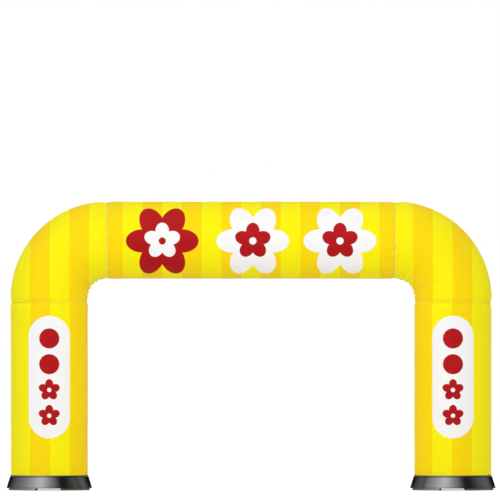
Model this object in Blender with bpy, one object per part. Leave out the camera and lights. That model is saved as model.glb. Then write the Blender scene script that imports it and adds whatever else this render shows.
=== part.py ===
"""Walk-through arch: a cloth tube filled with air, standing on two round black bases.

Metres, +Z up, +X to the right of someone facing the arch, +Y away from them. The origin is on the floor,
midway between the two bases. The tube is sewn from five sections that meet at drawn-in seams: leg, elbow,
beam, elbow, leg. A hoop holds each leg's hem to its base, and each base stands on four curved feet.
"""

import math
from collections import namedtuple

import bmesh
import bpy
from mathutils import Matrix, Vector

# Driving sizes of the cloth tube
ARCH_WIDTH = 5.0
ARCH_HEIGHT = 3.0
TUBE_RADIUS = 0.4
INSIDE_BEND = 0.2
LEG_SEAM_HEIGHT = 1.952

# Driving sizes of each base
BASE_HEIGHT = 0.155
BASE_TOP_RADIUS = 0.4098
BASE_BOTTOM_RADIUS = 0.4475
BOTTOM_ROUND = 0.004
DECK_ROUND = 0.002
HOOP_HEIGHT = 0.016
HOOP_WALL = 0.0057
FOOT_HEIGHT = 0.0205
FOOT_OUTER_RADIUS = 0.443
FOOT_WIDTH = 0.072
FOOT_GAP_ANGLE = math.radians(38)
FOOT_CHAMFER = 0.005

# How the sewing shapes the cloth
SEAM_DEPTH = 0.010
SEAM_REACH = 0.030
PUCKER_DEPTH = 0.0035
PUCKER_REACH = 0.11
HEM_RADIUS = 0.399
HEM_RISE = 0.055
INSIDE_SWELL = 0.006
SWELL_ANGLE = 60
SWELL_START = 12

# How fine the solids are
TUBE_SIDES = 48
LEG_RINGS = 13
ELBOW_RINGS = 28
BEAM_RINGS = 15
BASE_SIDES = 64
FOOT_STEPS = 6
SMOOTH_ANGLE = math.radians(35)

# How far a section's rings crowd toward its two ends, from 0 to 1
LONG_CROWD = 0.8
ELBOW_CROWD = 0.25

# Space left between pieces that touch
GAP = 0.0003

# Places that follow from the driving sizes
MIDDLE_BEND = INSIDE_BEND + TUBE_RADIUS
LEG_X = ARCH_WIDTH / 2 - TUBE_RADIUS
BEAM_Z = ARCH_HEIGHT - TUBE_RADIUS
BEND_Z = BEAM_Z - MIDDLE_BEND
BEAM_HALF = LEG_X - MIDDLE_BEND
DECK_Z = BASE_HEIGHT - HOOP_HEIGHT
BEND_END = BEAM_HALF + MIDDLE_BEND * math.pi / 2
LEG_SEAM = BEND_END + BEND_Z - LEG_SEAM_HEIGHT
LEG_END = BEND_END + BEND_Z - DECK_Z - GAP

# One crease across the inside of an elbow, its angles in degrees. turn counts from the beam's seam, and lean
# is how far the crease drifts toward the leg on its way round. front and back are how far round it runs.
Crease = namedtuple("Crease", "turn depth spread lean front back")
LEFT_CREASES = (
    Crease(turn=9, depth=0.009, spread=3.4, lean=-2, front=62, back=80),
    Crease(turn=23, depth=0.015, spread=3.8, lean=-6, front=98, back=74),
    Crease(turn=37, depth=0.012, spread=3.2, lean=-2, front=70, back=102),
    Crease(turn=52, depth=0.016, spread=4.0, lean=4, front=106, back=84),
    Crease(turn=67, depth=0.012, spread=3.6, lean=6, front=76, back=96),
    Crease(turn=81, depth=0.009, spread=3.2, lean=2, front=60, back=66),
)
RIGHT_CREASES = (
    Crease(turn=10, depth=0.010, spread=3.6, lean=-3, front=72, back=64),
    Crease(turn=25, depth=0.013, spread=3.4, lean=-5, front=84, back=98),
    Crease(turn=40, depth=0.016, spread=4.0, lean=1, front=104, back=78),
    Crease(turn=54, depth=0.011, spread=3.2, lean=3, front=68, back=90),
    Crease(turn=68, depth=0.014, spread=3.8, lean=5, front=94, back=72),
    Crease(turn=82, depth=0.008, spread=3.0, lean=1, front=58, back=76),
)

# Cloth gathered beside a seam, as soft ridges round the tube. start is in radians.
Pucker = namedtuple("Pucker", "ridges share start")
PUCKERS = (
    Pucker(ridges=7, share=0.45, start=0.4),
    Pucker(ridges=11, share=0.55, start=1.9),
)

# How each piece is finished
Finish = namedtuple("Finish", "colour roughness metallic")
YELLOW_CLOTH = Finish(colour=(1.0, 0.8, 0.0), roughness=0.55, metallic=0.0)
BLACK_HOUSING = Finish(colour=(0.03, 0.03, 0.034), roughness=0.3, metallic=0.0)
BLACK_HOOP = Finish(colour=(0.02, 0.02, 0.026), roughness=0.25, metallic=0.6)


def clear_scene():
    for obj in list(bpy.data.objects):
        bpy.data.objects.remove(obj)


def make_material(name, finish):
    material = bpy.data.materials.new(name)
    material.use_nodes = True
    shader = material.node_tree.nodes["Principled BSDF"]
    shader.inputs["Base Color"].default_value = (*finish.colour, 1)
    shader.inputs["Roughness"].default_value = finish.roughness
    shader.inputs["Metallic"].default_value = finish.metallic
    return material


def make_mesh(name, shape, material):
    mesh = bpy.data.meshes.new(name)
    shape.to_mesh(mesh)
    shape.free()
    mesh.shade_smooth()
    mesh.set_sharp_from_angle(angle=SMOOTH_ANGLE)
    mesh.materials.append(material)
    return mesh


def add_object(name, mesh, parent=None):
    obj = bpy.data.objects.new(name, mesh)
    bpy.context.scene.collection.objects.link(obj)
    obj.parent = parent
    return obj


def smooth_step(share):
    share = min(max(share, 0.0), 1.0)
    return share * share * (3 - 2 * share)


def spine(along):
    """The tube's centre and its outward direction, at a distance along the tube from the arch's middle."""
    side = math.copysign(1, along)
    reach = abs(along)
    if reach <= BEAM_HALF:
        return Vector((along, 0, BEAM_Z)), Vector((0, 0, 1))
    if reach <= BEND_END:
        turn = (reach - BEAM_HALF) / MIDDLE_BEND
        outward = Vector((side * math.sin(turn), 0, math.cos(turn)))
        return Vector((side * BEAM_HALF, 0, BEND_Z)) + MIDDLE_BEND * outward, outward
    return Vector((side * LEG_X, 0, BEND_Z - reach + BEND_END)), Vector((side, 0, 0))


def crease_cut(along, around):
    """How much an elbow's creases take off the radius, less the swell of the cloth between them."""
    creases = LEFT_CREASES if along < 0 else RIGHT_CREASES
    turn = math.degrees((abs(along) - BEAM_HALF) / MIDDLE_BEND)
    from_inside = 180 - math.degrees(around) % 360
    cut = 0.0
    for crease in creases:
        reach = crease.front if from_inside > 0 else crease.back
        if abs(from_inside) < reach:
            fade = math.cos(math.pi / 2 * from_inside / reach) ** 2
            place = crease.turn + crease.lean * (from_inside / 90) ** 2
            cut += crease.depth * fade * math.exp(-(((turn - place) / crease.spread) ** 2))
    inside = math.exp(-((from_inside / SWELL_ANGLE) ** 2))
    bent = smooth_step(turn / SWELL_START) * smooth_step((90 - turn) / SWELL_START)
    return cut - INSIDE_SWELL * inside * bent


def seam_cut(along, around):
    """How much the nearest seam draws the tube in, with the puckers that it gathers beside itself."""
    near = min(abs(abs(along) - seam) for seam in (BEAM_HALF, LEG_SEAM))
    drawn = SEAM_DEPTH * math.exp(-((near / SEAM_REACH) ** 2))
    waves = sum(p.share * math.sin(p.ridges * around + p.start + along) for p in PUCKERS)
    beside = near / PUCKER_REACH * math.exp(1 - near / PUCKER_REACH)
    return drawn + PUCKER_DEPTH * beside * waves


def tube_radius(along, around):
    """The tube's radius. around is 0 on the arch's outside and a quarter turn at its front."""
    radius = TUBE_RADIUS - seam_cut(along, around)
    if BEAM_HALF < abs(along) < BEND_END:
        radius -= crease_cut(along, around)
    free = smooth_step((LEG_END - abs(along) - HOOP_HEIGHT) / HEM_RISE)
    return HEM_RADIUS + free * (radius - HEM_RADIUS)


def tube_point(along, around):
    centre, outward = spine(along)
    front = Vector((0, -1, 0))
    radius = tube_radius(along, around)
    return centre + radius * (math.cos(around) * outward + math.sin(around) * front)


def cloth_section(name, start, end, rings, crowd, material):
    """One sewn section, filled: a cylinder whose rings are laid out along the tube."""
    shape = bmesh.new()
    bmesh.ops.create_cone(shape, segments=TUBE_SIDES, radius1=1, radius2=1, depth=1, cap_ends=True)
    lengthwise = [e for e in shape.edges if e.verts[0].co.z * e.verts[1].co.z < 0]
    bmesh.ops.subdivide_edges(shape, edges=lengthwise, cuts=rings - 1, use_grid_fill=True)
    for vertex in shape.verts:
        share = vertex.co.z + 0.5
        share -= crowd * math.sin(2 * math.pi * share) / (2 * math.pi)
        around = math.atan2(vertex.co.y, vertex.co.x)
        vertex.co = tube_point(start + share * (end - start), around)
    shape.normal_update()
    bmesh.ops.recalc_face_normals(shape, faces=shape.faces)
    return add_object(name, make_mesh(name, shape, material))


def round_rim(shape, height, offset, segments):
    """Rounds the rim of a turned shape that lies at one height."""
    rim = [e for e in shape.edges if all(abs(v.co.z - height) < GAP for v in e.verts)]
    bmesh.ops.bevel(
        shape, geom=rim, offset=offset, segments=segments, affect="EDGES", profile=0.5, material=-1
    )


def base_housing(name, parent, material):
    """The closed housing: a low cone with a rounded bottom rim and its deck's edge eased."""
    height = DECK_Z - FOOT_HEIGHT
    shape = bmesh.new()
    bmesh.ops.create_cone(
        shape, segments=BASE_SIDES, radius1=BASE_BOTTOM_RADIUS, radius2=BASE_TOP_RADIUS,
        depth=height, cap_ends=True,
    )
    bmesh.ops.translate(shape, verts=shape.verts, vec=(0, 0, FOOT_HEIGHT + height / 2))
    round_rim(shape, FOOT_HEIGHT, BOTTOM_ROUND, 2)
    round_rim(shape, DECK_Z, DECK_ROUND, 1)
    return add_object(name, make_mesh(name, shape, material), parent)


def turned_shape(profile, sweep, steps, full):
    """A closed profile of (radius, height) points, turned about the base's upright axis."""
    shape = bmesh.new()
    face = shape.faces.new([shape.verts.new((radius, 0, height)) for radius, height in profile])
    if full:
        bmesh.ops.delete(shape, geom=[face], context="FACES_ONLY")
    bmesh.ops.spin(
        shape, geom=shape.verts[:] + shape.edges[:] + shape.faces[:], cent=(0, 0, 0),
        axis=(0, 0, 1), angle=sweep, steps=steps, use_merge=full,
    )
    bmesh.ops.recalc_face_normals(shape, faces=shape.faces)
    return shape


def hem_hoop(name, parent, material):
    """The hoop that clamps the hem: a flat band with its two top edges broken."""
    inner = HEM_RADIUS + 3 * GAP
    outer = inner + HOOP_WALL
    low = DECK_Z + GAP
    high = BASE_HEIGHT
    edge = HOOP_WALL / 4
    profile = (
        (inner, low), (outer, low), (outer, high - edge),
        (outer - edge, high), (inner + edge, high), (inner, high - edge),
    )
    shape = turned_shape(profile, 2 * math.pi, BASE_SIDES, True)
    return add_object(name, make_mesh(name, shape, material), parent)


def foot_mesh(material):
    """A curved foot on the +X side of the base, its edges at the floor broken."""
    sweep = math.pi / 2 - FOOT_GAP_ANGLE
    inner = FOOT_OUTER_RADIUS - FOOT_WIDTH
    high = FOOT_HEIGHT - GAP
    profile = ((inner, 0), (FOOT_OUTER_RADIUS, 0), (FOOT_OUTER_RADIUS, high), (inner, high))
    shape = turned_shape(profile, sweep, FOOT_STEPS, False)
    on_floor = [e for e in shape.edges if all(v.co.z < GAP for v in e.verts)]
    rim = [e for e in on_floor if e.calc_face_angle() > SMOOTH_ANGLE]
    bmesh.ops.bevel(
        shape, geom=rim, offset=FOOT_CHAMFER, segments=1, affect="EDGES", profile=0.5, material=-1
    )
    turn_back = Matrix.Rotation(-sweep / 2, 3, "Z")
    bmesh.ops.rotate(shape, verts=shape.verts, cent=(0, 0, 0), matrix=turn_back)
    return make_mesh("foot", shape, material)


def build_base(side, leg_x, housing, hoop, foot):
    """The base under one leg, with its hoop and its four feet."""
    middle = add_object(f"base_{side}_middle", None)
    middle.location.x = leg_x
    base_housing(f"base_{side}", middle, housing)
    hem_hoop(f"hoop_{side}", middle, hoop)
    for quarter, corner in enumerate(("back_right", "back_left", "front_left", "front_right")):
        piece = add_object(f"foot_{side}_{corner}", foot, middle)
        piece.rotation_euler.z = (quarter + 0.5) * math.pi / 2


def build_arch():
    cloth = make_material("yellow_cloth", YELLOW_CLOTH)
    housing = make_material("black_housing", BLACK_HOUSING)
    hoop = make_material("black_hoop", BLACK_HOOP)
    foot = foot_mesh(housing)

    apart = GAP / 2
    beam_end = BEAM_HALF - apart
    cloth_section("beam", -beam_end, beam_end, BEAM_RINGS, LONG_CROWD, cloth)
    for side, sign in (("left", -1), ("right", 1)):
        elbow_start, elbow_end = sign * (BEAM_HALF + apart), sign * (LEG_SEAM - apart)
        leg_start, leg_end = sign * (LEG_SEAM + apart), sign * LEG_END
        cloth_section(f"elbow_{side}", elbow_start, elbow_end, ELBOW_RINGS, ELBOW_CROWD, cloth)
        cloth_section(f"leg_{side}", leg_start, leg_end, LEG_RINGS, LONG_CROWD, cloth)
        build_base(side, sign * LEG_X, housing, hoop, foot)


clear_scene()
build_arch()
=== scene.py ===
"""The walk-through arch, dressed: striped cloth with its print and sewing, black bases and a plain studio.

Metres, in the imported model's frame: +X to the right, +Y away from the printed front, +Z up, the floor at 0.
The cloth is one long tube. A place on it is its distance along the tube from the arch's middle, less than 0
on the left, and its angle around the tube, 0 on the arch's outside and a quarter turn at the front.
"""

import math
from collections import namedtuple

import bmesh
import bpy
from bpy.props import FloatProperty, FloatVectorProperty, IntProperty, PointerProperty
from mathutils import Matrix, Vector, noise
from mathutils.bvhtree import BVHTree


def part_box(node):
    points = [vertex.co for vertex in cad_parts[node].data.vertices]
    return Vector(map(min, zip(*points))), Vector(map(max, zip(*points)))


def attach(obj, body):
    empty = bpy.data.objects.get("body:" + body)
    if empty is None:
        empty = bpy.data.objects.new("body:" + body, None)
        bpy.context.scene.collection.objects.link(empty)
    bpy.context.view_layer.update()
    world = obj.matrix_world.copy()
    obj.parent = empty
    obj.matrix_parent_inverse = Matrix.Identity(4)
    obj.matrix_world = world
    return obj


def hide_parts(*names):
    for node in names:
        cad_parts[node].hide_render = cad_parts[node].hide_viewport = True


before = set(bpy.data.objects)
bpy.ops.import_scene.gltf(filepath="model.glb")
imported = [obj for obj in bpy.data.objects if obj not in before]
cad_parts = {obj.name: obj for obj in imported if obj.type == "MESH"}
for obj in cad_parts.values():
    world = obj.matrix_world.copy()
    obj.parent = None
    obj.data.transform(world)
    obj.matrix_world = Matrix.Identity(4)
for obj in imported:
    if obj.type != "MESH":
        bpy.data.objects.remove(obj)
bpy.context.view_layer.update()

bl_info = {
    "name": "Walk-through Arch",
    "version": (1, 0, 0),
    "blender": (4, 5, 0),
    "location": "3D Viewport > Sidebar > Arch",
    "description": "Builds the striped cloth, sewing, print, bases and studio of an air-filled arch",
    "category": "Object",
}

BODY = "root"
SIDES = (("left", -1), ("right", 1))
QUARTER = math.pi / 2
FULL_TURN = 2 * math.pi

# One crease across the inside of an elbow, its angles in degrees. turn counts from the beam's seam. lean is
# how far the crease drifts toward the leg on its way round. front and back are how far round it runs.
Crease = namedtuple("Crease", "turn depth spread lean front back")
CREASES = {
    -1: (
        Crease(turn=9, depth=0.009, spread=3.4, lean=-2, front=62, back=80),
        Crease(turn=23, depth=0.015, spread=3.8, lean=-6, front=98, back=74),
        Crease(turn=37, depth=0.012, spread=3.2, lean=-2, front=70, back=102),
        Crease(turn=52, depth=0.016, spread=4.0, lean=4, front=106, back=84),
        Crease(turn=67, depth=0.012, spread=3.6, lean=6, front=76, back=96),
        Crease(turn=81, depth=0.009, spread=3.2, lean=2, front=60, back=66),
    ),
    1: (
        Crease(turn=10, depth=0.010, spread=3.6, lean=-3, front=72, back=64),
        Crease(turn=25, depth=0.013, spread=3.4, lean=-5, front=84, back=98),
        Crease(turn=40, depth=0.016, spread=4.0, lean=1, front=104, back=78),
        Crease(turn=54, depth=0.011, spread=3.2, lean=3, front=68, back=90),
        Crease(turn=68, depth=0.014, spread=3.8, lean=5, front=94, back=72),
        Crease(turn=82, depth=0.008, spread=3.0, lean=1, front=58, back=76),
    ),
}

# The cloth between the creases, with angles in degrees along the bend and round the tube
CREASE_STRAY = 1.6
PINCH_SPREAD = 1.3
SWELL_ROUND = 60
SWELL_FADE = 12
FOLD_DEPTH = 0.004
FOLD_SPREAD = 4.5
FOLD_ROUND = 38
EVEN_FOLD = 0.25

# Cloth gathered beside a seam, as soft ridges round the tube. start is in radians.
Pucker = namedtuple("Pucker", "ridges share start")
PUCKERS = (
    Pucker(ridges=7, share=0.45, start=0.4),
    Pucker(ridges=11, share=0.55, start=1.9),
)

# The fine gathers: how many come round, how much their length and lean change, and where they start
GATHERS_ROUND = 11
GATHER_CHANGE = 0.9
SHORTEST_GATHER = 0.3
GATHER_LEAN = 0.5
GATHER_START = 0.014
EVEN_GATHER = 0.2
HEM_GATHERS = 0.6

# Slow unevenness of the tube, and half the gap between two sections
SLOW_SWELL = 0.0012
SEAM_GAP = 0.0002


def length(name, default, description):
    return FloatProperty(
        name=name, description=description, default=default, min=0, precision=4, unit="LENGTH"
    )


def factor(name, default, description):
    return FloatProperty(name=name, description=description, default=default, min=0, subtype="FACTOR")


def colour(name, default, description):
    return FloatVectorProperty(
        name=name, description=description, default=default, size=3, min=0, max=1, subtype="COLOR"
    )


def middle_of(node):
    low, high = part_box(node)
    return (low + high) / 2


def width_of(node):
    low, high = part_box(node)
    return high.x - low.x


class ArchCloth(bpy.types.PropertyGroup):
    height: length("Height", 3.0, "Floor to the top of the beam")
    tube: length("Tube", 0.8, "Across the filled tube")
    leg_x: length("Leg place", middle_of("hoop_right").x, "Arch's middle to the middle of a leg")
    bend: length("Bend", 0.6, "Radius of an elbow's middle line")
    leg_seam: length("Leg seam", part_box("leg_right")[1].z, "Height of the seam on top of each leg")
    hem_z: length("Hem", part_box("leg_right")[0].z, "Height of the leg's bottom edge")
    hem_radius: length("Hem radius", 0.399, "Radius of the leg inside its hoop")
    hem_rise: length("Hem rise", 0.055, "Height over which the hem swells to the tube")
    seam_depth: length("Seam depth", 0.010, "How far a seam draws the tube in")
    seam_reach: length("Seam reach", 0.030, "How far along the tube that draw is felt")
    nip_depth: length("Nip depth", 0.0015, "How far the stitches pull the cloth's edge in")
    nip_reach: length("Nip reach", 0.004, "How far the stitches' pull is felt")
    pucker_depth: length("Pucker depth", 0.0035, "Height of the broad puckers beside a seam")
    pucker_reach: length("Pucker reach", 0.11, "Where the broad puckers are highest")
    gather_depth: length("Gather depth", 0.022, "Height of the fine gathers at a seam and at the hem")
    gather_reach: length("Gather reach", 0.06, "How far the fine gathers run from the stitches")
    inside_swell: length("Inside swell", 0.005, "How far the cloth swells between an elbow's creases")
    valley: factor("Valley", 0.7, "Depth of a crease's broad valley, as a share")
    pinch: factor("Pinch", 0.35, "Depth of a crease's sharp middle, as a share")
    sides: IntProperty(name="Sides", description="Faces round the tube", default=256, min=16)
    step: length("Step", 0.016, "Distance between rings along the beam and legs")
    elbow_step: length("Elbow step", 0.010, "Distance between rings along an elbow's middle line")
    air_frames: IntProperty(name="Air frames", description="Frames in which air settles an elbow", default=8)
    air_force: FloatProperty(name="Air force", description="Pressure of the air in an elbow", default=4.0)
    air_limit: length("Air limit", 0.009, "Farthest that the air may move the cloth")
    sewn_edge: length("Sewn edge", 0.017, "Width of cloth held still beside a seam")


class ArchPrint(bpy.types.PropertyGroup):
    light: colour("Light yellow", (1.0, 0.89, 0.0), "The lighter of the two stripes")
    deep: colour("Deep yellow", (1.0, 0.72, 0.0), "The deeper of the two stripes")
    red: colour("Red", (0.413, 0.0037, 0.006), "Red of the print")
    white: colour("White", (0.96, 0.96, 0.96), "White of the print")
    pale_thread: colour("Pale thread", (1.0, 0.95, 0.3), "Thread over the beam's two seams")
    leg_thread: colour("Leg thread", (1.0, 0.93, 0.05), "Thread over the two leg seams")
    stripe: length("Stripe", 0.2053, "Width of one stripe")
    elbow_edge: length("Elbow stripe", 1.6825, "Arch's middle to the edge of an elbow's first deep stripe")
    leg_edge: length("Leg stripe", 1.676, "Arch's middle to the edge of a leg's first deep stripe")
    blossom_gap: length("Blossom gap", 0.923, "Between neighbouring blossoms' middles")
    blossom_z: length("Blossom height", 2.592, "Height of the blossoms' middles")
    blossom: length("Blossom", 0.3776, "Reach of a blossom's petals")
    panel_x: length("Panel place", 2.096, "Arch's middle to a leg panel's middle")
    panel_z: length("Panel height", 1.1785, "Height of a leg panel's middle")
    panel_width: length("Panel width", 0.4281, "Across a leg's white panel")
    panel_length: length("Panel length", 1.2715, "Top to bottom of a leg's white panel")
    dot: length("Dot", 0.2093, "Across a red dot")
    row_gap: length("Row gap", 0.2674, "Between the rows of dots and small blossoms on a panel")


class ArchBase(bpy.types.PropertyGroup):
    bottom: length("Bottom radius", width_of("base_right") / 2, "The housing's widest radius")
    top: length("Top radius", 0.4098, "The housing's radius at its deck")
    low: length("Housing foot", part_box("base_right")[0].z, "Height of the housing's underside")
    deck: length("Deck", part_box("base_right")[1].z, "Height of the deck that the hem stands on")
    rim: length("Rim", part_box("hoop_right")[1].z, "Height of the hoop's top")
    hoop: length("Hoop radius", width_of("hoop_right") / 2, "The hoop's outer radius")
    foot_outer: length("Foot radius", 0.443, "Outer radius of a foot")
    foot_width: length("Foot width", 0.072, "Width of a foot")
    foot_gap: FloatProperty(
        name="Foot gap", description="Angle between two feet", default=math.radians(38),
        subtype="ANGLE",
    )
    foot_draft: length("Foot draft", 0.0015, "How far a foot's outer face leans in over half its height")
    plastic: colour("Plastic", (0.004, 0.004, 0.0045), "Black of the housing")
    rubber: colour("Rubber", (0.07, 0.07, 0.072), "Dark grey of the feet")
    band: colour("Band", (0.004, 0.004, 0.010), "Blue-black of the hoop")
    steps: IntProperty(name="Steps", description="Faces round the base", default=192, min=16)
    foot_steps: IntProperty(name="Foot steps", description="Faces along a foot", default=28, min=4)


class ArchStage(bpy.types.PropertyGroup):
    view_width: length("View width", 5.2045, "Width of the picture at the arch")
    view_z: length("View height", 2.498, "Height that the picture's middle shows")
    view_x: FloatProperty(
        name="View offset", description="Place across the arch that the picture's middle shows",
        default=-0.0115, unit="LENGTH",
    )
    distance: length("Camera distance", 160.0, "Camera to the middle of the arch")
    floor: length("Floor", 120.0, "Across the floor")
    ambient: FloatProperty(name="Ambient", description="Light from all round", default=0.77)
    gloss: FloatProperty(name="Gloss", description="Brightest part of the room in a gloss", default=12.2)
    key: FloatProperty(name="Key", description="Power of the soft lamp, in watts", default=215.0)


GROUPS = {"cloth": ArchCloth, "print": ArchPrint, "base": ArchBase, "stage": ArchStage}


def smooth_step(share):
    share = min(max(share, 0.0), 1.0)
    return share * share * (3 - 2 * share)


class Tube:
    """The course of the cloth tube and its radius everywhere, worked out from the panel's sizes."""

    def __init__(self, sizes):
        self.sizes = sizes
        self.radius = sizes.tube / 2
        self.beam_z = sizes.height - self.radius
        self.bend_z = self.beam_z - sizes.bend
        self.beam_half = sizes.leg_x - sizes.bend
        self.bend_end = self.beam_half + sizes.bend * QUARTER
        self.leg_seam = self.bend_end + self.bend_z - sizes.leg_seam
        self.end = self.bend_end + self.bend_z - sizes.hem_z
        self.hoop_edge = self.end - (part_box("hoop_right")[1].z - sizes.hem_z)

    def spine(self, along):
        """The tube's centre and its outward direction."""
        side = math.copysign(1, along)
        reach = abs(along)
        if reach <= self.beam_half:
            return Vector((along, 0, self.beam_z)), Vector((0, 0, 1))
        if reach <= self.bend_end:
            turn = (reach - self.beam_half) / self.sizes.bend
            outward = Vector((side * math.sin(turn), 0, math.cos(turn)))
            corner = Vector((side * self.beam_half, 0, self.bend_z))
            return corner + self.sizes.bend * outward, outward
        drop = reach - self.bend_end
        return Vector((side * self.sizes.leg_x, 0, self.bend_z - drop)), Vector((side, 0, 0))

    def crease_cut(self, along, around):
        """How much an elbow's creases take off the radius, less the swell of the cloth between them."""
        side = -1 if along < 0 else 1
        turn = math.degrees((abs(along) - self.beam_half) / self.sizes.bend)
        from_inside = 180 - math.degrees(around) % 360
        cut = 0.0
        for number, crease in enumerate(CREASES[side]):
            reach = crease.front if from_inside > 0 else crease.back
            if abs(from_inside) >= reach:
                continue
            fade = math.cos(QUARTER * from_inside / reach) ** 2
            wander = noise.noise((from_inside / 26, number * 3.7, side * 9.1))
            place = crease.turn + crease.lean * (from_inside / 90) ** 2 + CREASE_STRAY * wander * (1 - fade)
            off = abs(turn - place)
            cut += self.sizes.valley * crease.depth * fade * math.exp(-((off / crease.spread) ** 2))
            cut += self.sizes.pinch * crease.depth * math.sqrt(fade) * math.exp(-off / PINCH_SPREAD)
        inside = math.exp(-((from_inside / SWELL_ROUND) ** 2))
        bent = smooth_step(turn / SWELL_FADE) * smooth_step((90 - turn) / SWELL_FADE)
        fold = abs(noise.noise((turn / FOLD_SPREAD, from_inside / FOLD_ROUND, 5 + side)))
        return cut - (self.sizes.inside_swell + FOLD_DEPTH * (fold - EVEN_FOLD)) * inside * bent

    def gathers(self, near, around, seed):
        """Short sharp gathers that run out from a row of stitches."""
        ring = Vector((math.cos(around), math.sin(around), 0))
        run = 1 + GATHER_CHANGE * noise.noise(3.3 * ring + Vector((0, 0, seed)))
        fade = math.exp(-near / (self.sizes.gather_reach * max(run, SHORTEST_GATHER)))
        start = smooth_step(near / GATHER_START)
        turned = around + GATHER_LEAN * near * noise.noise(5 * ring + Vector((0, 0, seed + 4)))
        place = GATHERS_ROUND * Vector((math.cos(turned), math.sin(turned), 0)) + Vector((0, 0, seed + 8))
        return self.sizes.gather_depth * fade * start * (EVEN_GATHER - abs(noise.noise(place)))

    def seam_cut(self, along, around):
        """How much the nearest seam draws the tube in, with the cloth that it gathers beside itself."""
        sizes = self.sizes
        reach = abs(along)
        seam = min((self.beam_half, self.leg_seam), key=lambda place: abs(reach - place))
        near = abs(reach - seam)
        drawn = sizes.seam_depth * math.exp(-((near / sizes.seam_reach) ** 2))
        drawn += sizes.nip_depth * math.exp(-near / sizes.nip_reach)
        waves = sum(p.share * math.sin(p.ridges * around + p.start + along) for p in PUCKERS)
        beside = near / sizes.pucker_reach * math.exp(1 - near / sizes.pucker_reach)
        seed = 10 * math.copysign(seam, along) + (3 if reach > seam else 0)
        return drawn + sizes.pucker_depth * beside * waves + self.gathers(near, around, seed)

    def radius_at(self, along, around):
        """The tube's radius at a place, straight over its hoop and swelling out above it."""
        radius = self.radius - self.seam_cut(along, around)
        if self.beam_half < abs(along) < self.bend_end:
            radius -= self.crease_cut(along, around)
        over_hoop = self.hoop_edge - abs(along)
        if over_hoop < 0.5:
            radius -= HEM_GATHERS * self.gathers(max(over_hoop, 0), around, math.copysign(70, along))
            free = smooth_step(over_hoop / self.sizes.hem_rise)
            radius = self.sizes.hem_radius + free * (radius - self.sizes.hem_radius)
            if over_hoop < 0:
                radius = self.sizes.hem_radius
        slow = noise.noise((along * 2.2, 1.3 * math.cos(around), 1.3 * math.sin(around)))
        return radius + SLOW_SWELL * slow * smooth_step(over_hoop / 0.2)

    def direction(self, along, around):
        """The outward direction of the surface at a place, in the plane across the tube."""
        outward = self.spine(along)[1]
        return math.cos(around) * outward + math.sin(around) * Vector((0, -1, 0))

    def point(self, along, around, lift=0.0):
        radius = self.radius_at(along, around) + lift
        return self.spine(along)[0] + radius * self.direction(along, around)


def join(tree, value, socket):
    """Feeds a socket from another socket, or sets it to a plain value."""
    if isinstance(value, bpy.types.NodeSocket):
        tree.links.new(value, socket)
    else:
        socket.default_value = value


def maths(tree, operation, *values):
    node = tree.nodes.new("ShaderNodeMath")
    node.operation = operation
    for value, socket in zip(values, node.inputs):
        join(tree, value, socket)
    return node.outputs["Value"]


def plus(tree, one, other):
    return maths(tree, "ADD", one, other)


def minus(tree, one, other):
    return maths(tree, "SUBTRACT", one, other)


def times(tree, one, other):
    return maths(tree, "MULTIPLY", one, other)


def mix_colours(tree, share, below, above, blend="MIX"):
    node = tree.nodes.new("ShaderNodeMix")
    node.data_type = "RGBA"
    node.blend_type = blend
    for value, number in ((share, 0), (below, 6), (above, 7)):
        join(tree, value, node.inputs[number])
    return node.outputs[2]


def apart(tree, vector):
    """The X, Y and Z of a vector."""
    node = tree.nodes.new("ShaderNodeSeparateXYZ")
    join(tree, vector, node.inputs[0])
    return node.outputs[0], node.outputs[1], node.outputs[2]


def grain(tree, vector, scale, detail=2.0, roughness=0.5):
    """Plain noise between 0 and 1."""
    node = tree.nodes.new("ShaderNodeTexNoise")
    join(tree, vector, node.inputs["Vector"])
    node.inputs["Scale"].default_value = scale
    node.inputs["Detail"].default_value = detail
    node.inputs["Roughness"].default_value = roughness
    return node.outputs[0]


def span(tree, x, z):
    """How far a point is from the middle."""
    squares = times(tree, x, x), times(tree, z, z)
    return maths(tree, "SQRT", plus(tree, *squares))


def object_place(tree):
    return tree.nodes.new("ShaderNodeTexCoord").outputs["Object"]


def cloth_map(tree, name):
    node = tree.nodes.new("ShaderNodeUVMap")
    node.uv_map = name
    return node.outputs["UV"]


def bump(tree, height, distance, strength=1.0, below=None):
    node = tree.nodes.new("ShaderNodeBump")
    node.inputs["Distance"].default_value = distance
    node.inputs["Strength"].default_value = strength
    join(tree, height, node.inputs["Height"])
    if below is not None:
        join(tree, below, node.inputs["Normal"])
    return node.outputs["Normal"]


def group_tree(name, inputs, outputs):
    """A new node group and its inner sockets. inputs give each name's default, and outputs are names."""
    tree = bpy.data.node_groups.new(name, "ShaderNodeTree")
    for label, default in inputs.items():
        kind = "NodeSocketFloat" if isinstance(default, (int, float)) else "NodeSocketVector"
        socket = tree.interface.new_socket(name=label, in_out="INPUT", socket_type=kind)
        socket.default_value = default
    for label in outputs:
        tree.interface.new_socket(name=label, in_out="OUTPUT", socket_type="NodeSocketFloat")
    return tree, tree.nodes.new("NodeGroupInput").outputs, tree.nodes.new("NodeGroupOutput").inputs


def place_group(tree, name, values):
    node = tree.nodes.new("ShaderNodeGroup")
    node.node_tree = bpy.data.node_groups[name]
    for label, value in values.items():
        join(tree, value, node.inputs[label])
    return node.outputs


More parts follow.
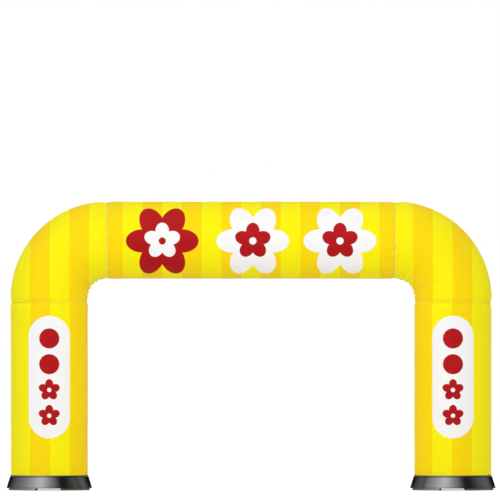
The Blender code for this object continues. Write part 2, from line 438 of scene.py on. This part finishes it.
def make_stripe_group():
    """Deep is 1 on every other upright band, counted outward from First Edge on both sides."""
    tree, given, made = group_tree(
        "Upright Stripes", {"Place": (0, 0, 0), "First Edge": 0.1, "Width": 0.2}, ["Deep"]
    )
    across = maths(tree, "ABSOLUTE", apart(tree, given["Place"])[0])
    counted = maths(tree, "DIVIDE", minus(tree, across, given["First Edge"]), given["Width"])
    odd = maths(tree, "FLOORED_MODULO", maths(tree, "FLOOR", counted), 2.0)
    join(tree, maths(tree, "LESS_THAN", odd, 0.5), made["Deep"])


def make_blossom_group():
    """A flower seen from the front: oval petals round a filled heart, printed on the front only."""
    inputs = {
        "Place": (0, 0, 0), "Centre": (0, 0, 0), "Petals": 6.0, "Turn": 0.0,
        "Reach": 0.377, "Petal Length": 0.34, "Petal Width": 0.24, "Heart": 0.12,
    }
    tree, given, made = group_tree("Printed Blossom", inputs, ["Mask"])
    x, y, z = apart(tree, given["Place"])
    centre_x, _, centre_z = apart(tree, given["Centre"])
    x = minus(tree, x, centre_x)
    z = minus(tree, z, centre_z)
    far = span(tree, x, z)
    angle = minus(tree, maths(tree, "ARCTAN2", z, x), given["Turn"])
    pitch = maths(tree, "DIVIDE", FULL_TURN, given["Petals"])
    nearest = times(tree, maths(tree, "ROUND", maths(tree, "DIVIDE", angle, pitch)), pitch)
    off = minus(tree, angle, nearest)
    half_length = times(tree, given["Petal Length"], 0.5)
    half_width = times(tree, given["Petal Width"], 0.5)
    out = times(tree, far, maths(tree, "COSINE", off))
    out = minus(tree, out, minus(tree, given["Reach"], half_length))
    out = maths(tree, "DIVIDE", out, half_length)
    aside = maths(tree, "DIVIDE", times(tree, far, maths(tree, "SINE", off)), half_width)
    oval = plus(tree, times(tree, out, out), times(tree, aside, aside))
    petal = maths(tree, "LESS_THAN", oval, 1.0)
    heart = maths(tree, "LESS_THAN", far, given["Heart"])
    front = maths(tree, "LESS_THAN", y, 0.0)
    join(tree, times(tree, maths(tree, "MAXIMUM", petal, heart), front), made["Mask"])


def make_panel_group():
    """An upright panel with round ends, on the front only. With Length equal to Width it is a dot."""
    inputs = {"Place": (0, 0, 0), "Centre": (0, 0, 0), "Width": 0.4, "Length": 1.2}
    tree, given, made = group_tree("Printed Panel", inputs, ["Mask"])
    x, y, z = apart(tree, given["Place"])
    centre_x, _, centre_z = apart(tree, given["Centre"])
    straight = times(tree, minus(tree, given["Length"], given["Width"]), 0.5)
    x = minus(tree, x, centre_x)
    z = maths(tree, "ABSOLUTE", minus(tree, z, centre_z))
    z = maths(tree, "MAXIMUM", minus(tree, z, straight), 0.0)
    far = span(tree, x, z)
    inside = maths(tree, "LESS_THAN", far, times(tree, given["Width"], 0.5))
    front = maths(tree, "LESS_THAN", y, 0.0)
    join(tree, times(tree, inside, front), made["Mask"])


def make_weave_group():
    """Plain weave: Height rises over whichever of the two threads is on top. Along is in metres of cloth."""
    tree, given, made = group_tree("Plain Weave", {"Along": (0, 0, 0), "Pitch": 0.001}, ["Height"])
    warp_place, weft_place, _ = apart(tree, given["Along"])
    per_thread = maths(tree, "DIVIDE", math.pi, given["Pitch"])
    warp = maths(tree, "SINE", times(tree, warp_place, per_thread))
    weft = maths(tree, "SINE", times(tree, weft_place, per_thread))
    over = maths(tree, "GREATER_THAN", times(tree, warp, weft), 0.0)
    under = minus(tree, 1.0, over)
    warp = times(tree, maths(tree, "ABSOLUTE", warp), over)
    weft = times(tree, maths(tree, "ABSOLUTE", weft), under)
    join(tree, plus(tree, warp, weft), made["Height"])


def make_wear_group():
    """Shade is about 1 where a piece is clean and less where it is dusty. Rub is the dust near the floor."""
    inputs = {"Place": (0, 0, 0), "Dust Height": 0.5, "Unevenness": 0.03}
    tree, given, made = group_tree("Light Wear", inputs, ["Shade", "Rub"])
    low = maths(tree, "DIVIDE", apart(tree, given["Place"])[2], given["Dust Height"])
    patchy = grain(tree, given["Place"], scale=9.0, detail=5.0, roughness=0.6)
    near_floor = maths(tree, "MAXIMUM", minus(tree, 1.0, low), 0.0)
    dust = times(tree, maths(tree, "POWER", near_floor, 2.0), patchy)
    broad = minus(tree, grain(tree, given["Place"], scale=1.7, detail=3.0), 0.5)
    shade = plus(tree, 1.0, times(tree, broad, given["Unevenness"]))
    shade = minus(tree, shade, times(tree, dust, 0.12))
    join(tree, shade, made["Shade"])
    join(tree, dust, made["Rub"])


def make_mould_group():
    """Fine moulded skin of a plastic part, with faint scuffs."""
    inputs = {"Place": (0, 0, 0), "Scuffs": 0.1}
    tree, given, made = group_tree("Moulded Skin", inputs, ["Height", "Scuff"])
    pebbles = tree.nodes.new("ShaderNodeTexVoronoi")
    join(tree, given["Place"], pebbles.inputs["Vector"])
    pebbles.inputs["Scale"].default_value = 700.0
    join(tree, pebbles.outputs["Distance"], made["Height"])
    streaks = grain(tree, given["Place"], scale=34.0, detail=6.0, roughness=0.7)
    scuff = times(tree, maths(tree, "POWER", streaks, 4.0), given["Scuffs"])
    join(tree, scuff, made["Scuff"])


def rgba(socket_colour):
    return (*socket_colour, 1.0)


def plain_material(name, roughness, specular):
    material = bpy.data.materials.new(name)
    material.use_nodes = True
    shader = material.node_tree.nodes["Principled BSDF"]
    shader.inputs["Roughness"].default_value = roughness
    shader.inputs["Specular IOR Level"].default_value = specular
    return material, material.node_tree, shader


# One thing printed on the front of the cloth, and the node group that shapes it
Motif = namedtuple("Motif", "group ink values")


def blossom_motif(ink, x, z, reach, petals=6, turn=0.0, length_share=0.9, width_share=0.64, heart=0.32):
    values = {
        "Centre": (x, 0, z), "Petals": petals, "Turn": turn, "Reach": reach,
        "Petal Length": length_share * reach, "Petal Width": width_share * reach,
        "Heart": heart * reach,
    }
    return Motif("Printed Blossom", ink, values)


def dot_motif(ink, x, z, across):
    return Motif("Printed Panel", ink, {"Centre": (x, 0, z), "Width": across, "Length": across})


def small_blossom(ink, x, z, reach):
    """A blossom of five wide petals, the first straight up."""
    return blossom_motif(ink, x, z, reach, petals=5, turn=QUARTER, width_share=0.74)


def beam_motifs(inks, inner=0.19, dot=0.075, middle_shift=0.018):
    """Three large blossoms, each with a small one of the other colour in its middle."""
    motifs = []
    for place in (-1, 0, 1):
        ink, other = (inks.red, inks.white) if place < 0 else (inks.white, inks.red)
        x = place * inks.blossom_gap + (middle_shift if place == 0 else 0)
        motifs.append(blossom_motif(ink, x, inks.blossom_z, inks.blossom))
        motifs.append(small_blossom(other, x, inks.blossom_z, inner))
        motifs.append(dot_motif(ink, x, inks.blossom_z, dot))
    return motifs


def leg_motifs(inks, x, blossom=0.113, dot=0.045):
    """A white panel with two red dots above two small red blossoms."""
    panel = {"Centre": (x, 0, inks.panel_z), "Width": inks.panel_width, "Length": inks.panel_length}
    motifs = [Motif("Printed Panel", inks.white, panel)]
    top = inks.panel_z + 1.5 * inks.row_gap
    for row in range(4):
        z = top - row * inks.row_gap
        if row < 2:
            motifs.append(dot_motif(inks.red, x, z, inks.dot))
        else:
            motifs.append(small_blossom(inks.red, x, z, blossom))
            motifs.append(dot_motif(inks.white, x, z, dot))
    return motifs


def cloth_material(name, inks, first_edge, motifs):
    """Woven nylon in two yellows, printed with the given motifs."""
    matt = 0.6
    material, tree, shader = plain_material(name, roughness=matt, specular=0.14)
    place = object_place(tree)
    print_x, print_z, _ = apart(tree, cloth_map(tree, "print"))
    printed = tree.nodes.new("ShaderNodeCombineXYZ")
    for value, socket in zip((print_x, apart(tree, place)[1], print_z), printed.inputs):
        join(tree, value, socket)
    printed = printed.outputs["Vector"]
    stripes = place_group(
        tree, "Upright Stripes", {"Place": printed, "First Edge": first_edge, "Width": inks.stripe}
    )
    dyed = mix_colours(tree, stripes["Deep"], rgba(inks.light), rgba(inks.deep))
    for motif in motifs:
        mask = place_group(tree, motif.group, {"Place": printed, **motif.values})["Mask"]
        dyed = mix_colours(tree, mask, dyed, rgba(motif.ink))
    wear = place_group(tree, "Light Wear", {"Place": place, "Dust Height": 0.5, "Unevenness": 0.03})
    shaded = mix_colours(tree, 1.0, dyed, wear["Shade"], "MULTIPLY")
    join(tree, shaded, shader.inputs["Base Color"])
    roughness = plus(tree, matt, times(tree, wear["Rub"], 0.2))
    join(tree, roughness, shader.inputs["Roughness"])
    weave = place_group(tree, "Plain Weave", {"Along": cloth_map(tree, "cloth"), "Pitch": 0.0011})
    soft = bump(tree, grain(tree, place, scale=14.0, detail=3.0), distance=0.0012)
    join(tree, bump(tree, weave["Height"], distance=0.0002, below=soft), shader.inputs["Normal"])
    return material


def thread_material(name, dye):
    """Spun thread, slightly uneven in shade."""
    material, tree, shader = plain_material(name, roughness=0.5, specular=0.3)
    place = object_place(tree)
    fuzz = grain(tree, place, scale=420.0)
    shade = plus(tree, 0.86, times(tree, fuzz, 0.28))
    join(tree, mix_colours(tree, 1.0, rgba(dye), shade, "MULTIPLY"), shader.inputs["Base Color"])
    join(tree, bump(tree, fuzz, distance=0.0002), shader.inputs["Normal"])
    return material


def plastic_material(name, pigment, roughness, scuffs):
    """Moulded plastic or rubber, with a fine skin and faint scuffs."""
    material, tree, shader = plain_material(name, roughness, specular=0.5)
    place = object_place(tree)
    skin = place_group(tree, "Moulded Skin", {"Place": place, "Scuffs": scuffs})
    wear = place_group(tree, "Light Wear", {"Place": place, "Dust Height": 0.12, "Unevenness": 0.1})
    pale = plus(tree, skin["Scuff"], times(tree, wear["Rub"], 0.05))
    worn = mix_colours(tree, pale, rgba(pigment), (0.2, 0.2, 0.2, 1.0))
    join(tree, worn, shader.inputs["Base Color"])
    join(tree, plus(tree, roughness, skin["Scuff"]), shader.inputs["Roughness"])
    join(tree, bump(tree, skin["Height"], distance=0.00003, strength=0.6), shader.inputs["Normal"])
    return material


def new_object(name, shape, material):
    mesh = bpy.data.meshes.new(name)
    shape.to_mesh(mesh)
    shape.free()
    mesh.materials.append(material)
    made = bpy.data.objects.new(name, mesh)
    bpy.context.scene.collection.objects.link(made)
    return made


def add_piece(name, shape, material, replaced=(), smooth_angle=35):
    """Turns a finished shape into a piece of the arch, hung on its body, and hides the parts that it stands
    for.
    """
    piece = new_object(name, shape, material)
    piece.data.shade_smooth()
    piece.data.set_sharp_from_angle(angle=math.radians(smooth_angle))
    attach(piece, BODY)
    if replaced:
        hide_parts(*replaced)
    return piece


def map_cloth(shape, tube, places):
    """Lays two maps on the cloth, whose vertices lie at the given places along and around the tube.

    "cloth" is metres along the tube and metres around it. "print" is the X and Z of the tube before it was
    creased and gathered, so the print follows the cloth into its folds.
    """
    weave = shape.loops.layers.uv.new("cloth")
    printed = shape.loops.layers.uv.new("print")
    for face in shape.faces:
        arounds = [places[vertex.index][1] for vertex in face.verts]
        wraps = max(arounds) - min(arounds) > math.pi
        for loop in face.loops:
            along, around = places[loop.vert.index]
            smooth = tube.spine(along)[0] + tube.radius * tube.direction(along, around)
            loop[printed].uv = smooth.xz
            if wraps and around < 0:
                around += FULL_TURN
            loop[weave].uv = (along, around * tube.radius)


def cloth_section(name, tube, start, end, step, material, crowd=0.75):
    """One sewn section: a fine cylinder laid along the tube, its rings crowded toward its two ends."""
    rings = round(abs(end - start) / step)
    shape = bmesh.new()
    bmesh.ops.create_cone(shape, segments=tube.sizes.sides, radius1=1, radius2=1, depth=1, cap_ends=True)
    lengthwise = [e for e in shape.edges if e.verts[0].co.z * e.verts[1].co.z < 0]
    bmesh.ops.subdivide_edges(shape, edges=lengthwise, cuts=rings - 1, use_grid_fill=True)
    shape.verts.index_update()
    places = {}
    for vertex in shape.verts:
        share = vertex.co.z + 0.5
        share -= crowd * math.sin(FULL_TURN * share) / FULL_TURN
        places[vertex.index] = (start + share * (end - start), math.atan2(vertex.co.y, vertex.co.x))
    for vertex in shape.verts:
        vertex.co = tube.point(*places[vertex.index])
    map_cloth(shape, tube, places)
    shape.normal_update()
    bmesh.ops.recalc_face_normals(shape, faces=shape.faces)
    piece = add_piece(f"{name}_cloth", shape, material, (name,), 75)
    return piece, places


def fill_with_air(piece, places, sizes):
    """Settles an elbow's cloth under air pressure, held along its two sewn edges."""
    first, last = min(places.values())[0], max(places.values())[0]
    sewn = [n for n, (along, _) in places.items() if min(along - first, last - along) < sizes.sewn_edge]
    vertices = piece.data.vertices
    held = piece.vertex_groups.new(name="sewn")
    held.add(sewn, 1.0, "REPLACE")
    air = piece.modifiers.new("air", "CLOTH")
    cloth = air.settings
    cloth.quality = 4
    cloth.mass = 0.3
    cloth.tension_stiffness = 15
    cloth.compression_stiffness = 15
    cloth.shear_stiffness = 5
    cloth.bending_stiffness = 0.5
    cloth.use_pressure = True
    cloth.uniform_pressure_force = sizes.air_force
    cloth.vertex_group_mass = held.name
    cloth.effector_weights.gravity = 0
    air.point_cache.frame_start = 1
    air.point_cache.frame_end = sizes.air_frames
    scene = bpy.context.scene
    for frame_number in range(1, sizes.air_frames + 1):
        scene.frame_set(frame_number)
    settled = piece.evaluated_get(bpy.context.evaluated_depsgraph_get()).data
    moves = [after.co - before.co for after, before in zip(settled.vertices, vertices)]
    piece.modifiers.remove(air)
    piece.vertex_groups.remove(held)
    scene.frame_set(1)
    for vertex, move in zip(vertices, moves):
        vertex.co += move * min(1.0, sizes.air_limit / max(move.length, sizes.air_limit))
    piece.data.update()


# A row of stitches round the tube. shift is how far past its seam the row lies, lift how far it stands off
# the cloth, half_length half a stitch, and slant its angle in degrees from the row.
Stitches = namedtuple("Stitches", "doublings shift lift half_length radius slant")
OVERLOCK = (Stitches(doublings=11, shift=0, lift=0.0028, half_length=0.0052, radius=0.0008, slant=76),)


def fine_row(shift):
    return Stitches(doublings=9, shift=shift, lift=0.0003, half_length=0.0017, radius=0.0008, slant=0)


TOPSTITCH = (fine_row(-0.013), fine_row(0.013))
HEM_STITCH = (fine_row(-0.012), fine_row(-0.018))


def cloth_surfaces(context, side):
    """The made cloth on one side of the arch, ready to be searched for the place of a stitch."""
    scene_graph = context.evaluated_depsgraph_get()
    names = ("beam_cloth", f"elbow_{side}_cloth", f"leg_{side}_cloth")
    return [BVHTree.FromObject(bpy.data.objects[name], scene_graph) for name in names]


def on_cloth(surfaces, tube, along, around):
    """The point of the made cloth at a place, found by looking inward from just outside it."""
    reach = 0.02
    start = tube.point(along, around, reach)
    for surface in surfaces:
        hit = surface.ray_cast(start, -tube.direction(along, around), 2 * reach)[0]
        if hit is not None:
            return hit
    return tube.point(along, around)


def stitch_place(surfaces, tube, along, around, row):
    """Turns, sizes and places a stitch: a ball whose X is its long way and Z the way off the cloth."""
    outward = tube.direction(along, around)
    lie = Matrix.Rotation(math.radians(row.slant), 3, outward) @ tube.direction(along, around + QUARTER)
    turn = Matrix((lie, outward.cross(lie), outward)).transposed().to_4x4()
    size = Matrix.Diagonal((row.half_length, row.radius, row.radius, 1))
    middle = on_cloth(surfaces, tube, along, around) if row.shift else tube.point(along, around)
    return Matrix.Translation(middle + row.lift * outward) @ turn @ size


def sewn_rows(name, surfaces, tube, seam, rows, thread):
    """Rows of stitches in one piece. One stitch is doubled until there are enough, then all are placed."""
    sewn = bpy.data.meshes.new(name)
    shape = bmesh.new()
    for row in rows:
        stitches = bmesh.new()
        bmesh.ops.create_uvsphere(
            stitches, u_segments=4, v_segments=4, radius=1, matrix=Matrix.Rotation(QUARTER, 4, "Y")
        )
        corners = len(stitches.verts)
        for _ in range(row.doublings):
            everything = stitches.verts[:] + stitches.edges[:] + stitches.faces[:]
            bmesh.ops.duplicate(stitches, geom=everything)
        count = len(stitches.verts) // corners
        along = seam + math.copysign(row.shift, seam * row.shift)
        places = [
            stitch_place(surfaces, tube, along, FULL_TURN * number / count, row) for number in range(count)
        ]
        for number, vertex in enumerate(stitches.verts):
            vertex.co = places[number // corners] @ vertex.co
        stitches.to_mesh(sewn)
        stitches.free()
        shape.from_mesh(sewn)
    bpy.data.meshes.remove(sewn)
    bmesh.ops.recalc_face_normals(shape, faces=shape.faces)
    add_piece(name, shape, thread)


def turned_shape(profile, middle, sweep, steps, full):
    """A closed profile of (radius, height) points, turned about an upright axis through middle."""
    shape = bmesh.new()
    corners = [shape.verts.new((middle + radius, 0, height)) for radius, height in profile]
    face = shape.faces.new(corners)
    if full:
        bmesh.ops.delete(shape, geom=[face], context="FACES_ONLY")
    bmesh.ops.spin(
        shape, geom=shape.verts[:] + shape.edges[:] + shape.faces[:], cent=(middle, 0, 0),
        axis=(0, 0, 1), angle=sweep, steps=steps, use_merge=full,
    )
    bmesh.ops.recalc_face_normals(shape, faces=shape.faces)
    return shape


def round_edges(shape, edges, offset, segments):
    """Rounds edges, or chamfers them with one segment."""
    bmesh.ops.bevel(
        shape, geom=edges, offset=offset, segments=segments, affect="EDGES", profile=0.5, material=-1
    )


def sharp_edges(shape, angle=30):
    return [e for e in shape.edges if e.is_manifold and e.calc_face_angle() > math.radians(angle)]


def base_housing(side, sign, sizes, tube, material):
    """The housing: a low cone with a parting groove near its foot and its edges rounded."""
    hole, edge, set_in = 0.30, 0.0022, 0.0005
    groove_rise, groove_depth, groove_half = 0.010, 0.0015, 0.0012
    slope = (sizes.bottom - sizes.top) / (sizes.deck - sizes.low)

    def wall(height):
        return sizes.bottom - slope * (height - sizes.low)

    groove = sizes.low + groove_rise
    profile = (
        (hole, sizes.low), (wall(sizes.low) - set_in, sizes.low),
        (wall(groove - groove_half), groove - groove_half), (wall(groove) - groove_depth, groove),
        (wall(groove + groove_half), groove + groove_half),
        (wall(sizes.deck), sizes.deck), (hole, sizes.deck),
    )
    shape = turned_shape(profile, sign * tube.sizes.leg_x, FULL_TURN, sizes.steps, True)
    round_edges(shape, sharp_edges(shape, 50), edge, 4)
    add_piece(f"base_{side}_housing", shape, material, (f"base_{side}",))


def hem_hoop(side, sign, sizes, tube, material):
    """The hoop that clamps the hem: a flat band with rounded edges."""
    cloth, edge = 0.0006, 0.0016
    inner = tube.sizes.hem_radius + cloth
    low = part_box(f"hoop_{side}")[0].z
    profile = ((inner, low), (sizes.hoop, low), (sizes.hoop, sizes.rim), (inner, sizes.rim))
    shape = turned_shape(profile, sign * tube.sizes.leg_x, FULL_TURN, sizes.steps, True)
    round_edges(shape, sharp_edges(shape), edge, 3)
    add_piece(f"hoop_{side}_band", shape, material, (f"hoop_{side}",))


def base_foot(side, corner, quarter, sign, sizes, tube, material):
    """One curved foot, chamfered along the floor and with its other edges rounded."""
    chamfer, edge = 0.005, 0.0014
    sweep = QUARTER - sizes.foot_gap
    inner = sizes.foot_outer - sizes.foot_width
    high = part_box(f"foot_{side}_{corner}")[1].z
    outer_low, outer_high = sizes.foot_outer + sizes.foot_draft, sizes.foot_outer - sizes.foot_draft
    profile = ((inner, 0), (outer_low, 0), (outer_high, high), (inner, high))
    shape = turned_shape(profile, 0, sweep, sizes.foot_steps, False)
    on_floor = [e for e in sharp_edges(shape) if all(v.co.z < chamfer for v in e.verts)]
    round_edges(shape, on_floor, chamfer, 1)
    round_edges(shape, sharp_edges(shape), edge, 3)
    turn = Matrix.Rotation((quarter + 0.5) * QUARTER - sweep / 2, 4, "Z")
    shape.transform(Matrix.Translation((sign * tube.sizes.leg_x, 0, 0)) @ turn)
    node = f"foot_{side}_{corner}"
    add_piece(f"{node}_moulding", shape, material, (node,))


def panel_values(context):
    scene = context.scene
    return Tube(scene.arch_cloth), scene.arch_print, scene.arch_base


class ARCH_OT_effects(bpy.types.Operator):
    """Makes the shader effects that the arch's materials share"""

    bl_idname = "arch.effects"
    bl_label = "Shared Effects"

    def execute(self, context):
        make_stripe_group()
        make_blossom_group()
        make_panel_group()
        make_weave_group()
        make_wear_group()
        make_mould_group()
        return {"FINISHED"}


class ARCH_OT_beam(bpy.types.Operator):
    """Makes the beam's striped cloth, with its three printed blossoms"""

    bl_idname = "arch.beam"
    bl_label = "Beam"

    def execute(self, context):
        tube, inks, _ = panel_values(context)
        material = cloth_material("beam cloth", inks, inks.stripe / 2, beam_motifs(inks))
        end = tube.beam_half - SEAM_GAP
        cloth_section("beam", tube, -end, end, tube.sizes.step, material)
        return {"FINISHED"}


class ARCH_OT_elbows(bpy.types.Operator):
    """Makes the two creased elbows"""

    bl_idname = "arch.elbows"
    bl_label = "Elbows"

    def execute(self, context):
        tube, inks, _ = panel_values(context)
        material = cloth_material("elbow cloth", inks, inks.elbow_edge, [])
        step = tube.sizes.elbow_step
        for side, sign in SIDES:
            start, end = sign * (tube.beam_half + SEAM_GAP), sign * (tube.leg_seam - SEAM_GAP)
            elbow = cloth_section(f"elbow_{side}", tube, start, end, step, material, crowd=0.55)
            fill_with_air(*elbow, tube.sizes)
        return {"FINISHED"}


class ARCH_OT_legs(bpy.types.Operator):
    """Makes the two legs, each with its printed panel"""

    bl_idname = "arch.legs"
    bl_label = "Legs"

    def execute(self, context):
        tube, inks, _ = panel_values(context)
        for side, sign in SIDES:
            motifs = leg_motifs(inks, sign * inks.panel_x)
            material = cloth_material(f"leg cloth {side}", inks, inks.leg_edge, motifs)
            start, end = sign * (tube.leg_seam + SEAM_GAP), sign * tube.end
            cloth_section(f"leg_{side}", tube, start, end, tube.sizes.step, material)
        return {"FINISHED"}


class ARCH_OT_sewing(bpy.types.Operator):
    """Sews the four seams of the tube and its two hems"""

    bl_idname = "arch.sewing"
    bl_label = "Sewing"

    def execute(self, context):
        tube, inks, _ = panel_values(context)
        pale = thread_material("pale thread", inks.pale_thread)
        leg_thread = thread_material("leg thread", inks.leg_thread)
        yellow = thread_material("yellow thread", inks.light)
        for side, sign in SIDES:
            cloth = cloth_surfaces(context, side)
            seams = (("beam", tube.beam_half, pale), ("leg", tube.leg_seam, leg_thread))
            for seam, reach, thread in seams:
                sewn_rows(f"{seam}_overlock_{side}", cloth, tube, sign * reach, OVERLOCK, thread)
                sewn_rows(f"{seam}_topstitch_{side}", cloth, tube, sign * reach, TOPSTITCH, yellow)
            sewn_rows(f"hem_stitch_{side}", cloth, tube, sign * tube.hoop_edge, HEM_STITCH, yellow)
        return {"FINISHED"}


class ARCH_OT_bases(bpy.types.Operator):
    """Makes both bases: housing, hoop and feet"""

    bl_idname = "arch.bases"
    bl_label = "Bases"

    def execute(self, context):
        tube, _, sizes = panel_values(context)
        plastic = plastic_material("black plastic", sizes.plastic, roughness=0.24, scuffs=0.02)
        band = plastic_material("blue-black band", sizes.band, roughness=0.3, scuffs=0.01)
        rubber = plastic_material("grey rubber", sizes.rubber, roughness=0.3, scuffs=0.04)
        for side, sign in SIDES:
            base_housing(side, sign, sizes, tube, plastic)
            hem_hoop(side, sign, sizes, tube, band)
            for quarter, corner in enumerate(("back_right", "back_left", "front_left", "front_right")):
                base_foot(side, corner, quarter, sign, sizes, tube, rubber)
        return {"FINISHED"}


# The room that the glossy black plastic mirrors: its brightness by compass direction, 0 at the front
Glow = namedtuple("Glow", "degrees share")
ROOM = (
    Glow(-180, 0.0), Glow(-140, 0.0), Glow(-118, 0.06), Glow(-90, 0.215), Glow(-62, 0.45),
    Glow(-25, 1.0), Glow(0, 0.43), Glow(19, 0.22), Glow(30, 0.0), Glow(50, 0.0),
    Glow(64, 0.05), Glow(85, 0.125), Glow(112, 0.12), Glow(135, 0.0), Glow(180, 0.0),
)


def light_room(context, stage):
    """White behind the arch, even light from all round, and soft panels of light in what is glossy."""
    world = bpy.data.worlds.new("studio")
    world.use_nodes = True
    context.scene.world = world
    tree = world.node_tree
    background = tree.nodes["Background"]
    x, y, _ = apart(tree, tree.nodes.new("ShaderNodeTexCoord").outputs["Generated"])
    compass = maths(tree, "ARCTAN2", x, times(tree, y, -1.0))
    compass = plus(tree, maths(tree, "DIVIDE", compass, FULL_TURN), 0.5)
    ramp = tree.nodes.new("ShaderNodeValToRGB")
    join(tree, compass, ramp.inputs[0])
    stops = ramp.color_ramp.elements
    while len(stops) < len(ROOM):
        stops.new(0.5)
    for stop, glow in zip(stops, ROOM):
        stop.position = glow.degrees / 360 + 0.5
        stop.color = (glow.share, glow.share, glow.share, 1)
    path = tree.nodes.new("ShaderNodeLightPath")
    panels = times(tree, ramp.outputs["Color"], stage.gloss)
    seen = mix_colours(tree, path.outputs["Is Glossy Ray"], (stage.ambient,) * 3 + (1,), panels)
    seen = mix_colours(tree, path.outputs["Is Camera Ray"], seen, (1, 1, 1, 1))
    join(tree, seen, background.inputs["Color"])


def lay_floor(stage):
    """A pale floor that the camera sees as white, but for its soft shadows."""
    material, tree, shader = plain_material("pale floor", roughness=0.9, specular=0.0)
    shader.inputs["Base Color"].default_value = (0.86, 0.86, 0.86, 1)
    shader.inputs["Emission Color"].default_value = (1, 1, 1, 1)
    path = tree.nodes.new("ShaderNodeLightPath")
    glow = times(tree, path.outputs["Is Camera Ray"], 0.42)
    join(tree, glow, shader.inputs["Emission Strength"])
    shape = bmesh.new()
    bmesh.ops.create_grid(shape, x_segments=1, y_segments=1, size=stage.floor / 2)
    floor = new_object("floor", shape, material)


def add_lamp(name, place, target, size, power):
    """A round soft lamp that shows in neither the picture nor a gloss."""
    lamp = bpy.data.lights.new(name, "AREA")
    lamp.shape = "DISK"
    lamp.size = size
    lamp.energy = power
    holder = bpy.data.objects.new(name, lamp)
    holder.location = place
    holder.rotation_euler = (Vector(target) - Vector(place)).to_track_quat("-Z", "Y").to_euler()
    holder.visible_camera = False
    holder.visible_glossy = False
    bpy.context.scene.collection.objects.link(holder)


class ARCH_OT_stage(bpy.types.Operator):
    """Lays the floor, lights the studio and sets the camera"""

    bl_idname = "arch.stage"
    bl_label = "Stage"

    def execute(self, context):
        stage = context.scene.arch_stage
        light_room(context, stage)
        lay_floor(stage)
        add_lamp("soft lamp", place=(-0.6, -9.2, 5.0), target=(0, 0, 1.5), size=6.0, power=stage.key)
        camera = bpy.data.cameras.new("camera")
        camera.sensor_width = 36
        camera.lens = camera.sensor_width * stage.distance / stage.view_width
        camera.clip_end = 3 * stage.distance
        holder = bpy.data.objects.new("camera", camera)
        holder.location = (stage.view_x, -stage.distance, stage.view_z)
        holder.rotation_euler = (QUARTER, 0, 0)
        context.scene.collection.objects.link(holder)
        context.scene.camera = holder
        context.scene.view_settings.view_transform = "Standard"
        return {"FINISHED"}


STEPS = (
    ARCH_OT_effects, ARCH_OT_beam, ARCH_OT_elbows, ARCH_OT_legs, ARCH_OT_sewing, ARCH_OT_bases,
    ARCH_OT_stage,
)


class ARCH_PT_sidebar(bpy.types.Panel):
    """Lists the arch's sizes, colours and steps"""

    bl_idname = "ARCH_PT_sidebar"
    bl_label = "Walk-through Arch"
    bl_space_type = "VIEW_3D"
    bl_region_type = "UI"
    bl_category = "Arch"

    def draw(self, context):
        for step in STEPS:
            self.layout.operator(step.bl_idname)
        for key, group in GROUPS.items():
            box = self.layout.box()
            box.label(text=key.capitalize())
            for value in group.__annotations__:
                box.prop(getattr(context.scene, f"arch_{key}"), value)


PARTS = (*GROUPS.values(), *STEPS, ARCH_PT_sidebar)


def register():
    for part in PARTS:
        bpy.utils.register_class(part)
    for key, group in GROUPS.items():
        setattr(bpy.types.Scene, f"arch_{key}", PointerProperty(type=group))


def unregister():
    for key in GROUPS:
        delattr(bpy.types.Scene, f"arch_{key}")
    for part in reversed(PARTS):
        bpy.utils.unregister_class(part)


def main():
    register()
    bpy.ops.arch.effects()
    bpy.ops.arch.beam()
    bpy.ops.arch.elbows()
    bpy.ops.arch.legs()
    bpy.ops.arch.sewing()
    bpy.ops.arch.bases()
    bpy.ops.arch.stage()


if __name__ == "__main__":
    main()
